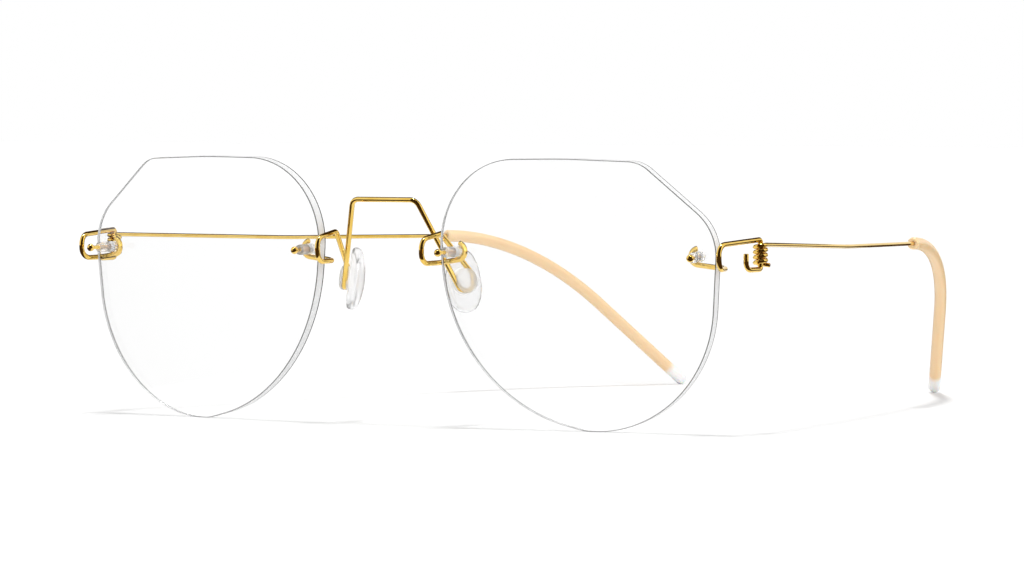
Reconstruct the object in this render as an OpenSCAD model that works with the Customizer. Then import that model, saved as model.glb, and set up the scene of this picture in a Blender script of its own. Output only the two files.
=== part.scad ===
// Rimless eyeglasses with a screwless bent-wire frame, in millimetres.
// +Z is up, the lenses face -Y, X = 0 is the plane of symmetry, and the glasses stand on the
// table at Z = 0 with their temples open. Left is the wearer's left, the +X side.

/* [Lenses] */
// Width of a lens between its two sides, before the corners are rounded
lens_w = 50.7; // [46.7:0.5:54.7]
// Height of a lens
lens_h = 43.8; // [40:0.2:48]
// Thickness of a lens
lens_t = 1.8; // [1.4:0.1:2.4]
// Radius of the lens's front surface
lens_front_r = 120; // [95:5:180]
// Distance between the middles of the two lenses
lens_spacing = 72; // [68:0.5:76]
// Turn of each lens round the face
wrap_deg = 5.4; // [3:0.2:7]
// Lean of each lens, top forward
tilt_deg = 4.6; // [2:0.2:7]
// Width taken off the upper outer corner
cut_w = 13.1; // [10.1:0.5:16.1]
// Height taken off the upper outer corner
cut_h = 11.4; // [8:0.2:14]
// Inward run of the outer side, top to bottom
outer_taper = 2.4; // [1:0.2:4]
// Inward run of the nose side, top to bottom
inner_taper = 3.4; // [2:0.2:5]
// Rise of the lower nose corner above the lens's foot
keel_rise = 5.6; // [4:0.2:7]
// Place of the lens's foot, outward of the lens's middle
keel_u = 1.3; // [0:0.1:3]
// Place of the highest point of the top, outward of the lens's middle
crown_u = -1.2; // [-3:0.1:1]
// Fall of the top from its highest point to its corners
crown_drop = 0.5; // [0.3:0.1:1]
// Corner radius at the highest point of the top
crown_r = 120; // [80:10:150]
// Corner radius where the top meets the cut corner
cut_top_r = 6; // [3:0.5:9]
// Corner radius where the cut corner meets the outer side
cut_side_r = 9; // [5:0.5:11]
// Corner radius at the foot
keel_r = 8; // [4:1:12]
// Straight run from the foot to the sweep up the outer side
outer_flat = 0.7; // [0.3:0.1:2]
// Straight run from the foot to the sweep up the nose side
inner_flat = 2.6; // [1:0.1:4]
// Straight run of the nose side between its two sweeps
nose_flat = 2.5; // [1:0.1:5]

/* [Lens pins and bushes] */
// Height of the nose side's hole above the lens's middle
nasal_hole_v = 6.7; // [5:0.1:8]
// Height of the temple side's hole above the lens's middle
temporal_hole_v = 6.4; // [5:0.1:8]
// Distance of the nose side's hole from the lens's edge
nasal_inset = 2.4; // [2.2:0.1:3.2]
// Distance of the temple side's hole from the lens's edge
temporal_inset = 3.2; // [2.4:0.1:3.6]
// Outer diameter of a bush
bush_d = 1.7; // [1.5:0.05:1.9]
// Radial clearance of a bush in its hole
bush_clear = 0.02; // [0.01:0.01:0.05]
// Length of a bush in front of the lens
bush_front = 2.1; // [1.6:0.1:2.6]
// Length of a bush behind the lens
bush_back = 1.5; // [1.3:0.1:2]
// Diameter of a pin's ball head
ball_d = 1.25; // [1:0.05:1.5]
// Distance of the ball's middle from the front of the lens
ball_reach = 3.7; // [3.4:0.1:4.2]
// Diameter of a pin's shank
shank_d = 0.6; // [0.5:0.05:0.7]
// Height of the grip rings on the shank
ring_h = 0.06; // [0.04:0.01:0.08]
// Number of grip rings on a shank
ring_count = 5; // [3:1:7]
// Radial clearance of the grip rings in the bush
shank_clear = 0.01; // [0.01:0.01:0.03]
// Length of a pin from the middle of its ball to its end
pin_l = 4.9; // [4.2:0.1:5.4]

/* [Wire clips] */
// Diameter of the bridge and endpiece wire
wire_d = 0.85; // [0.8:0.05:1]
// Distance between the middles of a clip's two arms
clip_h = 3.9; // [3.6:0.1:4.6]
// Bend radius of a clip's corners behind the lens
clip_bend_r = 1.1; // [0.8:0.1:1.3]
// Straight length of a clip's bar between its two round front bends
bar_flat = 0.5; // [0.3:0.1:1.7]
// Distance of the nose side's clip outside the lens's edge
nasal_over = 2; // [1.4:0.1:2.4]
// Distance of the temple side's clip outside the lens's edge
temporal_over = 1.45; // [1.35:0.05:1.8]
// Reach of the nose side's clip in front of the lens
nasal_reach = 3; // [2.4:0.1:3.4]
// Reach of the temple side's clip in front of the lens
temporal_reach = 2.3; // [1.8:0.1:2.8]
// Clearance between the eye of a clip and its bush
eye_clear = 0.05; // [0.03:0.01:0.1]
// Clearance between the eye of a clip and the back of the lens
eye_back_clear = 0.15; // [0.1:0.05:0.3]
// Angle on the eye at which the wire's free end lies
eye_end_deg = 100; // [60:5:120]

/* [Bridge and nose pads] */
// Half the length of the bridge bar
bridge_half = 6.2; // [5.5:0.1:7.5]
// Depth of the bridge bar behind the middle of the lenses
bridge_y = 1.3; // [0.5:0.1:2.5]
// Height of the bridge bar above the middle of the lenses
bridge_z = 15.1; // [13:0.1:16.5]
// Bend radius of the bridge bar's two corners
bridge_bend_r = 1.6; // [1:0.1:2]
// Run of the nose clip's upper arm behind its bar
nasal_arm_l = 5.9; // [5:0.1:7]
// Rise of the nose clip's upper arm
nasal_arm_rise = 1; // [0.6:0.1:1.6]
// Outward run of the nose clip's upper arm
nasal_arm_out = 0.3; // [0:0.1:0.6]
// Distance between the middles of the two pads
pad_spacing = 21.4; // [20:0.2:24]
// Depth of the pads' middles behind the middle of the lenses
pad_y = 9.1; // [8.2:0.1:9.8]
// Height of the pads' middles above the middle of the lenses
pad_z = 1.8; // [0.5:0.1:2.5]
// Angle of a pad, rear edge outward
pad_splay_deg = 22; // [15:1:30]
// Angle of a pad, lower end outward
pad_flare_deg = 6; // [0:1:12]
// Height of a pad
pad_h = 10.3; // [9.5:0.1:11.5]
// Width of a pad
pad_w = 6.6; // [6.4:0.1:7.5]
// Thickness of a pad's plate
pad_t = 1.5; // [1.3:0.1:1.8]
// Share of a pad's half width taken by its rounded rim
rim_share = 0.1; // [0.08:0.01:0.12]
// Narrowing of a pad towards its upper end
pad_egg = 0.12; // [0:0.02:0.2]
// Curve of a pad towards its two ends
pad_bow_h = 0.5; // [0.2:0.1:0.8]
// Height of the dome on a pad's nose side
pad_dome_h = 0.3; // [0.2:0.05:0.5]
// Diameter of a pad's boss
boss_d = 4; // [3.9:0.1:4.2]
// Distance of the boss in front of the middle of its pad
boss_lead = 0.6; // [0.4:0.05:0.7]
// Radius where the boss meets the plate
boss_foot_r = 0.2; // [0.1:0.05:0.25]
// Radius of the boss's upper rim
boss_rim_r = 0.35; // [0.2:0.05:0.4]
// Height of a pad's boss above its plate
boss_h = 1.75; // [1.6:0.05:2]
// Height of the wire's turn at the boss
turn_w = 2.8; // [2.5:0.1:3.1]
// Depth of the wire's turn below the middle of the pad
turn_fall = 1.5; // [1.4:0.1:1.6]
// Place of the turn's rear run, behind the middle of the pad
turn_back = 0.6; // [0.4:0.1:0.7]
// Place of the turn's front run, in front of the middle of the pad
turn_front = 1.7; // [1.6:0.1:1.8]
// Bend radius of the wire's turn
turn_bend_r = 1.1; // [0.9:0.1:1.1]
// Clearance of the wire in the boss
pad_clear = 0.03; // [0.02:0.01:0.08]

/* [Endpieces and hinges] */
// Outward run of an endpiece from its clip to the hinge axis
end_out = 0.9; // [0.5:0.1:1.5]
// Length of an endpiece from its clip to the hinge axis
end_l = 11.5; // [9:0.5:14]
// Rise of an endpiece from its clip to the hinge
end_rise = 0.7; // [0.2:0.1:1.2]
// Bend radius where the wire turns down into the hinge and out of it
hinge_bend_r = 0.5; // [0.45:0.05:0.6]
// Forward reach of the stop hook below the hinge
hook_l = 4.5; // [3.4:0.1:4.8]
// Height of the stop hook's free end above its foot
hook_h = 2.6; // [2:0.1:3.2]
// Bend radius of the stop hook
hook_bend_r = 1.3; // [1:0.1:1.6]
// Turns of the temple wire round the hinge axis
coil_turns = 2.75; // [1.75:1:3.75]
// Least gap between two turns of the coil
coil_gap = 0.43; // [0.42:0.01:0.5]
// Radius of the hinge axis over the wire's own
axis_over = 0.01; // [0.01:0.01:0.02]
// Radial clearance of the coil on the hinge axis
hinge_clear = 0.1; // [0.05:0.01:0.15]
// Clearance between the coil and the wire above and below it
coil_end_clear = 0.05; // [0.05:0.01:0.1]
// Length of the wire's free end below the coil
stub_l = 1.3; // [1:0.1:2]

/* [Temples] */
// Diameter of the temple wire
temple_d = 0.7; // [0.65:0.01:0.75]
// Turn of an open temple inward
toe_deg = 10.9; // [8:0.1:12]
// Distance from the hinge to the temple's shallow dip
dip_l = 40; // [30:1:50]
// Fall of the temple from the hinge to its dip
dip_fall = 1.3; // [1:0.1:2]
// Distance from the hinge to the temple's bend behind the ear
ear_l = 98; // [90:1:104]
// Inward place of the ear bend from the hinge axis
ear_in = 19.7; // [17:0.1:22]
// Fall of the temple from the hinge to the ear bend
ear_fall = 2; // [1.4:0.1:3.4]
// Radius of the bend behind the ear
ear_bend_r = 50; // [35:1:55]
// Radius of the temple's shallow dip
dip_bend_r = 150; // [100:10:200]
// Distance from the hinge to the middle of the tip's round end
tip_l = 125.3; // [119.3:0.5:131.3]
// Inward place of the tip's round end from the hinge axis
tip_in = 36.5; // [33:0.1:40]
// Outer diameter of the sleeve on the temple's end
sleeve_d = 2.1; // [1.8:0.05:2.4]
// Radial clearance of the sleeve on the wire
sleeve_clear = 0.02; // [0.01:0.01:0.05]
// Straight length of the sleeve ahead of the ear bend
sleeve_lead = 0.4; // [0.2:0.1:4]
// Length of the sleeve's solid end beyond the wire
sleeve_end_l = 4.5; // [3:0.1:6]

/* [Hidden] */
round_fn = 48;
lens_fn = 300;
wire_sides = 10;
sleeve_sides = 12;
pad_sides = 28;
rim_steps = 6;
boss_steps = 2;
bend_steps = 5;
eye_steps = 12;
ear_steps = 12;
coil_steps = 20;
dome_steps = 3;
dome_step_deg = 90 / (dome_steps + 0.5);
// Shares of a nose pad's outline at which its dome has a ring of points
dome_shares = [0.3, 0.6, 0.8];
// Points on the bends of a lens's outline: few on an arc so large that it is nearly straight
flat_arc_r = 100;
flat_arc_steps = 3;
least_arc_steps = 6;
arc_step_r = 3;
// Spare length of a cut, so that it passes right through
cut_spare = 1;

wire_r = wire_d / 2;
temple_r = temple_d / 2;
sleeve_r = sleeve_d / 2;
half_w = lens_w / 2;
half_h = lens_h / 2;
lens_x = lens_spacing / 2;
top_v = half_h - crown_drop;
cut_v = half_h - cut_h;

// Corners of a lens's outline seen from the front: outward and up
crown = [crown_u, half_h];
cut_top = [half_w - cut_w, top_v];
cut_side = [half_w, cut_v];
outer_foot = [half_w - outer_taper, -half_h];
keel = [keel_u, -half_h];
inner_foot = [inner_taper - half_w, keel_rise - half_h];
inner_top = [-half_w, top_v];

// The three big sweeps fill their sides up to the straight runs
function half_open(a, b, c) = acos(unit(a - b) * unit(c - b)) / 2;
keel_run = keel_r / tan(half_open(outer_foot, keel, inner_foot));
outer_run = norm(outer_foot - keel) - keel_run - outer_flat;
inner_run = norm(inner_foot - keel) - keel_run - inner_flat;
nose_run = norm(inner_top - inner_foot) - inner_run - nose_flat;
lens_corners = [
    concat(crown, crown_r),
    concat(cut_top, cut_top_r),
    concat(cut_side, cut_side_r),
    concat(outer_foot, outer_run * tan(half_open(cut_side, outer_foot, keel))),
    concat(keel, keel_r),
    concat(inner_foot, inner_run * tan(half_open(keel, inner_foot, inner_top))),
    concat(inner_top, nose_run * tan(half_open(inner_foot, inner_top, crown)))
];

function unit(v) = v / norm(v);
function flipped(points) = [for (i = [len(points) - 1 : -1 : 0]) points[i]];
function mirrored(points) = [for (p = points) [-p[0], p[1], p[2]]];
function flat(corners) = [for (c = corners) [c[0], c[1], 0]];

// Points of the arc that rounds the corner b between a and c
function corner_arc(a, b, c, r, steps) =
    let (
        to_a = unit(a - b),
        to_c = unit(c - b),
        open = acos(max(-1, min(1, to_a * to_c))),
        turn = 180 - open,
        run = r / tan(open / 2),
        middle = b + unit(to_a + to_c) * (r / sin(open / 2)),
        from_a = (b + to_a * run - middle) / r,
        from_c = (b + to_c * run - middle) / r
    )
    [for (i = [0 : steps])
        middle + (from_a * sin(turn * (1 - i / steps)) + from_c * sin(turn * i / steps)) * (r / sin(turn))];

// Open path through corners, each with its bend radius; the two ends have none
function bent_path(corners, radii, steps) = concat(
    [corners[0]],
    [for (i = [1 : len(corners) - 2])
        each corner_arc(corners[i - 1], corners[i], corners[i + 1], radii[i], steps[i])],
    [corners[len(corners) - 1]]
);

// Closed outline through corners, with more points on the long arcs
function outline_steps(r) = r > flat_arc_r ? flat_arc_steps : least_arc_steps + round(r / arc_step_r);
function rounded_outline(corners) =
    let (p = flat(corners), n = len(corners))
    [for (i = [0 : n - 1])
        each [for (q = corner_arc(p[(i + n - 1) % n], p[i], p[(i + 1) % n], corners[i][2],
                                  outline_steps(corners[i][2])))
            [q[0], q[1]]]];

// Depth of the lens's front surface behind its own foremost point
function sag(u, v) = lens_front_r - sqrt(pow(lens_front_r, 2) - u * u - v * v);

// From a lens's own outward, back and up to the frame
function lens_to_frame(p) =
    let (
        y = p[1] * cos(tilt_deg) - p[2] * sin(tilt_deg),
        z = p[1] * sin(tilt_deg) + p[2] * cos(tilt_deg)
    )
    [lens_x + p[0] * cos(wrap_deg) - y * sin(wrap_deg), p[0] * sin(wrap_deg) + y * cos(wrap_deg), z];

// Sides of the lens at height v
function outer_edge(v) = half_w - outer_taper * (cut_v - v) / (cut_v + half_h);
function inner_edge(v) = inner_taper * (top_v - v) / (top_v + half_h - keel_rise) - half_w;
nasal_hole = [inner_edge(nasal_hole_v) + nasal_inset, nasal_hole_v];
temporal_hole = [outer_edge(temporal_hole_v) - temporal_inset, temporal_hole_v];

// A hole's own directions: forward out of the lens, sideways and up
function hole_out(h) = [h[0], sag(h[0], h[1]) - lens_front_r, h[1]] / lens_front_r;
function hole_side(h) = unit(cross([0, 0, 1], hole_out(h))) * (h[0] > 0 ? 1 : -1);
function hole_up(h) = cross(hole_side(h), hole_out(h)) * (h[0] > 0 ? -1 : 1);
function hole_face(h) = [h[0], sag(h[0], h[1]), h[1]];
function hole_point(h, side, up, out) =
    lens_to_frame(hole_face(h) + hole_side(h) * side + hole_up(h) * up + hole_out(h) * out);

// Clip: an open eye round the bush, an arm forward past the lens, the bar and the upper arm
eye_r = bush_d / 2 + eye_clear + wire_r;
eye_out = -lens_t - eye_back_clear - wire_r;
half_clip = clip_h / 2;
bar_bend_r = (clip_h - bar_flat) / 2;
function edge_u(h) = h[0] > 0 ? outer_edge(h[1]) : inner_edge(h[1]);
function bar_side(h, over, reach) =
    (edge_u(h) + sign(h[0]) * over - h[0] - hole_out(h)[0] * reach) / hole_side(h)[0];
function eye_meet(side) = atan2(-half_clip, side) - acos(eye_r / norm([half_clip, side])) + 360;
function eye_points(h, side) = [for (i = [0 : eye_steps])
    let (a = eye_end_deg + (eye_meet(side) - eye_end_deg) * i / eye_steps)
    hole_point(h, eye_r * cos(a), eye_r * sin(a), eye_out)];
function clip_corners(h, side, reach) = [
    hole_point(h, side, -half_clip, eye_out),
    hole_point(h, side, -half_clip, reach),
    hole_point(h, side, half_clip, reach)
];
nasal_side = bar_side(nasal_hole, nasal_over, nasal_reach);
temporal_side = bar_side(temporal_hole, temporal_over, temporal_reach);
nasal_eye = eye_points(nasal_hole, nasal_side);
temporal_eye = eye_points(temporal_hole, temporal_side);
nasal_clip = clip_corners(nasal_hole, nasal_side, nasal_reach);
temporal_clip = clip_corners(temporal_hole, temporal_side, temporal_reach);

// Pad frame: along the plate to the rear, up the plate, and out of it away from the nose
pad_mid = [pad_spacing / 2, pad_y, pad_z];
pad_n = [cos(pad_splay_deg), -sin(pad_splay_deg), 0];
pad_back = [sin(pad_splay_deg), cos(pad_splay_deg), 0];
pad_up = unit([-sin(pad_flare_deg) * cos(pad_splay_deg), sin(pad_flare_deg) * sin(pad_splay_deg),
               cos(pad_flare_deg)]);
pad_out = cross(pad_back, pad_up);
function pad_point(back, up, out) = pad_mid + pad_back * back + pad_up * up + pad_out * out;

// The turn lies round the foot of the boss, midway between the plate and the boss's top
turn_out = pad_t / 2 + boss_h / 2;
bridge_corners = concat(
    [nasal_eye[eye_steps]],
    nasal_clip,
    [
        nasal_clip[2] + [nasal_arm_out, nasal_arm_l, nasal_arm_rise],
        pad_point(turn_back, turn_w - turn_fall, turn_out),
        pad_point(turn_back, -turn_fall, turn_out),
        pad_point(-turn_front, -turn_fall, turn_out),
        [bridge_half, bridge_y, bridge_z],
        [0, bridge_y, bridge_z]
    ]
);
bridge_radii = [0, clip_bend_r, bar_bend_r, bar_bend_r, clip_bend_r, turn_bend_r, turn_bend_r,
                clip_bend_r, bridge_bend_r, 0];
bridge_side = bent_path(bridge_corners, bridge_radii, [for (r = bridge_radii) bend_steps]);
bridge_half_path = concat(
    [for (i = [0 : eye_steps - 1]) nasal_eye[i]],
    [for (i = [0 : len(bridge_side) - 2]) bridge_side[i]]
);
bridge_path = concat(bridge_half_path, flipped(mirrored(bridge_half_path)));

// Hinge: the coil climbs the axis, so its height sets the length of the axis
coil_r = wire_r + hinge_clear + temple_r;
coil_climb = coil_turns * (temple_d + coil_gap);
axis_l = coil_climb + temple_d + wire_d + 2 * coil_end_clear;
hinge_top = temporal_clip[2] + [end_out, end_l, end_rise];
hinge_foot = hinge_top - [0, 0, axis_l];
hook_corner = hinge_foot - [0, hook_l, 0];
end_corners = concat(
    [temporal_eye[eye_steps]],
    temporal_clip,
    [hinge_top, hinge_foot, hook_corner, hook_corner + [0, 0, hook_h]]
);
end_radii = [0, clip_bend_r, bar_bend_r, bar_bend_r, hinge_bend_r, hinge_bend_r, hook_bend_r, 0];
end_side = bent_path(end_corners, end_radii, [for (r = end_radii) bend_steps]);
end_path = concat(
    [for (i = [0 : eye_steps - 1]) temporal_eye[i]],
    end_side
);

// Coil, from its free end below to where the temple leaves it
coil_foot = hinge_foot + [0, 0, wire_r + coil_end_clear + temple_r];
coil_n = coil_turns * coil_steps;
coil_points = [for (i = [0 : coil_n])
    let (a = toe_deg + 360 * (i / coil_steps - coil_turns))
    coil_foot + [coil_r * cos(a), coil_r * sin(a), coil_climb * i / coil_n]];
leave_dir = [-sin(toe_deg), cos(toe_deg), 0];
coil_top = coil_points[coil_n];
coil_least_gap = min([for (i = [0 : coil_n]) for (j = [i + coil_steps / 2 : coil_n])
    norm(coil_points[i] - coil_points[j])]) - temple_d;
echo(coil_least_gap = coil_least_gap);

// The glasses stand on the lenses' feet and on the round ends of the two tips
ground_z = sag(keel_u, half_h) * sin(tilt_deg) - half_h * cos(tilt_deg);
dip_point = coil_top + [-dip_l * tan(toe_deg), dip_l, -dip_fall];
ear_corner = [hinge_top[0] - ear_in, hinge_top[1] + ear_l, coil_top[2] - ear_fall];
tip_ball = [hinge_top[0] - tip_in, hinge_top[1] + tip_l, ground_z + sleeve_r];
tip_dir = unit(tip_ball - ear_corner);
tip_point = tip_ball + tip_dir * sleeve_r;
wire_end = tip_point - tip_dir * sleeve_end_l;
temple_run = bent_path([coil_top, dip_point, ear_corner, wire_end],
                       [0, dip_bend_r, ear_bend_r, 0], [0, bend_steps, ear_steps, 0]);
temple_path = concat([coil_points[0] - unit(coil_points[1] - coil_points[0]) * stub_l], coil_points,
                     [for (i = [1 : len(temple_run) - 1]) temple_run[i]]);
ear_open = acos(unit(dip_point - ear_corner) * tip_dir);
ear_run_out = ear_bend_r / tan(ear_open / 2);
sleeve_start = ear_corner - unit(ear_corner - dip_point) * (ear_run_out + sleeve_lead);
sleeve_run = bent_path([sleeve_start, ear_corner, wire_end], [0, ear_bend_r, 0], [0, ear_steps, 0]);
tip_dome = [for (i = [1 : dome_steps]) tip_ball + tip_dir * sleeve_r * sin(i * dome_step_deg)];
sleeve_path = concat(sleeve_run, [tip_ball], tip_dome);
sleeve_radii = concat([for (p = sleeve_run) sleeve_r], [sleeve_r],
                      [for (i = [1 : dome_steps]) sleeve_r * cos(i * dome_step_deg)]);
bore_path = concat([sleeve_start - unit(ear_corner - dip_point) * cut_spare],
                   [for (i = [1 : len(sleeve_run) - 1]) sleeve_run[i]]);

// The origin is at the middle of the glasses' length and width, on the table
front_y = hole_point(nasal_hole, 0, 0, ball_reach)[1] - ball_d / 2;
rear_y = tip_ball[1] + sleeve_r;
origin_shift = [0, -(front_y + rear_y) / 2, -ground_z];

// Direction of a path at each of its points
function path_dirs(path) = let (last = len(path) - 1) [for (i = [0 : last])
    i == 0 ? unit(path[1] - path[0])
    : i == last ? unit(path[last] - path[last - 1])
    : unit(unit(path[i] - path[i - 1]) + unit(path[i + 1] - path[i]))];

// Sideways direction at each point, carried along the path without twist
function path_sides(dirs) = [
    for (i = 0, s = unit(cross(dirs[0], abs(dirs[0][2]) < 0.9 ? [0, 0, 1] : [0, 1, 0]));
         i < len(dirs);
         i = i + 1, s = i < len(dirs) ? unit(s - dirs[i] * (s * dirs[i])) : s)
    s
];

// Round wire or tube along a path, with flat ends
module swept(path, radii, sides) {
    dirs = path_dirs(path);
    across = path_sides(dirs);
    count = len(path);
    points = [for (i = [0 : count - 1]) let (b = cross(dirs[i], across[i])) for (k = [0 : sides - 1])
        path[i] + (across[i] * cos(360 * k / sides) + b * sin(360 * k / sides)) * radii[i]];
    walls = [for (i = [0 : count - 2]) for (k = [0 : sides - 1])
        let (a = i * sides + k, b = i * sides + (k + 1) % sides)
        each [[a, a + sides, b + sides], [a, b + sides, b]]];
    ends = [for (k = [1 : sides - 2]) each [
        [0, k, k + 1],
        [(count - 1) * sides, (count - 1) * sides + k + 1, (count - 1) * sides + k]
    ]];
    polyhedron(points, concat(walls, ends), convexity = 10);
}
module wire(path, r, sides) swept(path, [for (p = path) r], sides);

// Put a part of the wearer's left side in place, or its mirror image on the right
module on_side(side) {
    translate(origin_shift)
        if (side == "left") children();
        else mirror([1, 0, 0]) children();
}
module in_lens() translate([lens_x, 0, 0]) rotate([tilt_deg, 0, wrap_deg]) children();
module at_hole(h) {
    out = hole_out(h);
    in_lens() translate(hole_face(h)) rotate([0, acos(out[2]), atan2(out[1], out[0])]) children();
}

// Depth of the block that a lens is cut from, well over the depth of its curve
lens_block = lens_front_r / 2;
module lens(side) color([0.86, 0.9, 0.93, 0.35]) on_side(side) {
    difference() {
        in_lens() intersection() {
            rotate([90, 0, 0])
                translate([0, 0, -lens_block / 2])
                    linear_extrude(height = lens_block) polygon(rounded_outline(lens_corners));
            translate([0, lens_front_r, 0]) difference() {
                sphere(r = lens_front_r, $fn = lens_fn);
                sphere(r = lens_front_r - lens_t, $fn = lens_fn);
            }
        }
        for (h = [nasal_hole, temporal_hole])
            at_hole(h)
                cylinder(d = bush_d + 2 * bush_clear, h = 2 * (lens_t + cut_spare),
                         center = true, $fn = round_fn);
    }
}

module bridge_wire() color([0.83, 0.62, 0.16]) translate(origin_shift)
    wire(bridge_path, wire_r, wire_sides);

module endpiece(side) color([0.83, 0.62, 0.16]) on_side(side) {
    wire(end_path, wire_r, wire_sides);
    // The straight axis is a true round pin, a hair over the wire so that it covers its facets
    translate(hinge_foot + [0, 0, hinge_bend_r])
        cylinder(r = wire_r + axis_over, h = axis_l - 2 * hinge_bend_r, $fn = round_fn);
}

module temple(side) color([0.83, 0.62, 0.16]) on_side(side)
    wire(temple_path, temple_r, wire_sides);

module temple_sleeve(side) color([0.98, 0.8, 0.58]) on_side(side)
    difference() {
        swept(sleeve_path, sleeve_radii, sleeve_sides);
        wire(bore_path, temple_r + sleeve_clear, sleeve_sides);
    }

// Pad: rings from the middle of the nose side, round the rim, to the top of the boss.
// Each ring: share of the plate's outline, radius of the boss's circle, height out of the plate
boss_r = boss_d / 2;
rim_r = pad_t / 2;
boss_top = rim_r + boss_h;
pad_rings = concat(
    [for (share = dome_shares) [share, 0, -rim_r - pad_dome_h * (1 - share * share)]],
    [for (i = [0 : rim_steps]) let (a = 180 * i / rim_steps - 90)
        [1 - rim_share * (1 - cos(a)), 0, rim_r * sin(a)]],
    [for (i = [0 : boss_steps]) let (a = 90 * i / boss_steps)
        [0, boss_r + boss_foot_r * (1 - sin(a)), rim_r + boss_foot_r * (1 - cos(a))]],
    [for (i = [0 : boss_steps]) let (a = 90 * i / boss_steps)
        [0, boss_r - boss_rim_r * (1 - cos(a)), boss_top - boss_rim_r * (1 - sin(a))]]
);
function pad_outline(a) = [pad_w / 2 * cos(a) * (1 - pad_egg * sin(a)), pad_h / 2 * sin(a)];
function boss_outline(a, r) = [cos(a) * r - boss_lead, sin(a) * r];
function pad_bow(p) = pad_bow_h * pow(2 * p[1] / pad_h, 2);
function pad_ring_point(ring, a) =
    let (at = ring[1] > 0 ? boss_outline(a, ring[1]) : pad_outline(a) * ring[0])
    pad_point(at[0], at[1], ring[2] + (ring[1] > 0 ? 0 : pad_bow(at)));
module pad_solid() {
    n = len(pad_rings);
    points = concat(
        [for (ring = pad_rings) for (k = [0 : pad_sides - 1]) pad_ring_point(ring, 360 * k / pad_sides)],
        [pad_point(0, 0, pad_rings[0][2]), pad_point(-boss_lead, 0, pad_rings[n - 1][2])]
    );
    first = n * pad_sides;
    walls = [for (i = [0 : n - 2]) for (k = [0 : pad_sides - 1])
        let (a = i * pad_sides + k, b = i * pad_sides + (k + 1) % pad_sides)
        each [[a, a + pad_sides, b + pad_sides], [a, b + pad_sides, b]]];
    ends = [for (k = [0 : pad_sides - 1]) let (m = (k + 1) % pad_sides, t = (n - 1) * pad_sides)
        each [[first, k, m], [first + 1, t + m, t + k]]];
    polyhedron(points, concat(walls, ends), convexity = 6);
}
module nose_pad(side) color([0.9, 0.92, 0.94, 0.6]) on_side(side)
    difference() {
        pad_solid();
        wire(bridge_half_path, wire_r + pad_clear, wire_sides);
    }

// Pin: a ball head and a shank with grip rings, along the hole's own axis
ring_step = shank_d;
module pin(side, h) color([0.83, 0.62, 0.16]) on_side(side) at_hole(h)
    translate([0, 0, ball_reach]) mirror([0, 0, 1]) {
        sphere(d = ball_d, $fn = round_fn);
        cylinder(d = shank_d, h = pin_l, $fn = round_fn);
        for (i = [0 : ring_count - 1])
            translate([0, 0, pin_l - ring_step * (i + 1)])
                cylinder(d = shank_d + 2 * ring_h, h = ring_step / 2, $fn = round_fn);
    }

module bush(side, h) color([0.92, 0.93, 0.95, 0.5]) on_side(side) at_hole(h)
    translate([0, 0, -lens_t - bush_back]) difference() {
        cylinder(d = bush_d, h = bush_back + lens_t + bush_front, $fn = round_fn);
        translate([0, 0, -cut_spare])
            cylinder(d = shank_d + 2 * (ring_h + shank_clear), $fn = round_fn,
                     h = bush_back + lens_t + bush_front + 2 * cut_spare);
    }

lens("left");  // lens_left
lens("right");  // lens_right
bridge_wire();
endpiece("left");  // endpiece_left
endpiece("right");  // endpiece_right
temple("left");  // temple_left
temple("right");  // temple_right
temple_sleeve("left");  // temple_sleeve_left
temple_sleeve("right");  // temple_sleeve_right
nose_pad("left");  // nose_pad_left
nose_pad("right");  // nose_pad_right
pin("left", nasal_hole);  // nasal_pin_left
pin("right", nasal_hole);  // nasal_pin_right
pin("left", temporal_hole);  // temporal_pin_left
pin("right", temporal_hole);  // temporal_pin_right
bush("left", nasal_hole);  // nasal_bush_left
bush("right", nasal_hole);  // nasal_bush_right
bush("left", temporal_hole);  // temporal_bush_left
bush("right", temporal_hole);  // temporal_bush_right
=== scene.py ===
"""Rimless eyeglasses with a screwless bent-wire frame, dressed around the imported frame.

Sizes are in millimetres, as in the part's source, and points are worked out in its front frame:
Y = 0 at the front of the lenses' middle, Z = 0 at the lenses' middle height. to_row() takes them
to the row frame in metres. Left is the wearer's left, the +X side.
"""

import math

import bmesh
import bpy
import numpy as np
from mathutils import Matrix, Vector


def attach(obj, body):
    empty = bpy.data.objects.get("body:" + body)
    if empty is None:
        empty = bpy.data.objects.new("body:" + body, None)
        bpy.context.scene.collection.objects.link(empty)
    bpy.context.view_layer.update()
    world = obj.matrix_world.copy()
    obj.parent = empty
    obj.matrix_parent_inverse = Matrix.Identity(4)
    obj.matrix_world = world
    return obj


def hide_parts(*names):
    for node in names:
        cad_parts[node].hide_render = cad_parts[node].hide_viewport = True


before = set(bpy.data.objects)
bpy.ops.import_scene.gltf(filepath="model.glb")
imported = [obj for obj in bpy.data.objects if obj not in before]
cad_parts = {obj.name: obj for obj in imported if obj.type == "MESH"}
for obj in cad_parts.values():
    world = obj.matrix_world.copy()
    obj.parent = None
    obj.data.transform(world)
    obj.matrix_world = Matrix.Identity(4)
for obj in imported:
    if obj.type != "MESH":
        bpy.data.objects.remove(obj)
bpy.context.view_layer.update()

MM = 0.001

# Lenses
LENS_W, LENS_H, LENS_T = 50.7, 43.8, 1.8
FRONT_R = 120
LENS_SPACING = 72
WRAP, TILT = math.radians(5.4), math.radians(4.6)
CUT_W, CUT_H = 13.1, 11.4
OUTER_TAPER, INNER_TAPER = 2.4, 3.4
KEEL_RISE, KEEL_U = 5.6, 1.3
CROWN_U, CROWN_DROP = -1.2, 0.5
CROWN_R, CUT_TOP_R, CUT_SIDE_R, KEEL_R = 120, 6, 9, 8
OUTER_FLAT, INNER_FLAT, NOSE_FLAT = 0.7, 2.6, 2.5
# The bevels round the edge, and a band of painted shade on it beside the back bevel
EDGE_BEVEL, PAINTED_SHADE_LINE = 0.12, 0.22

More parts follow.
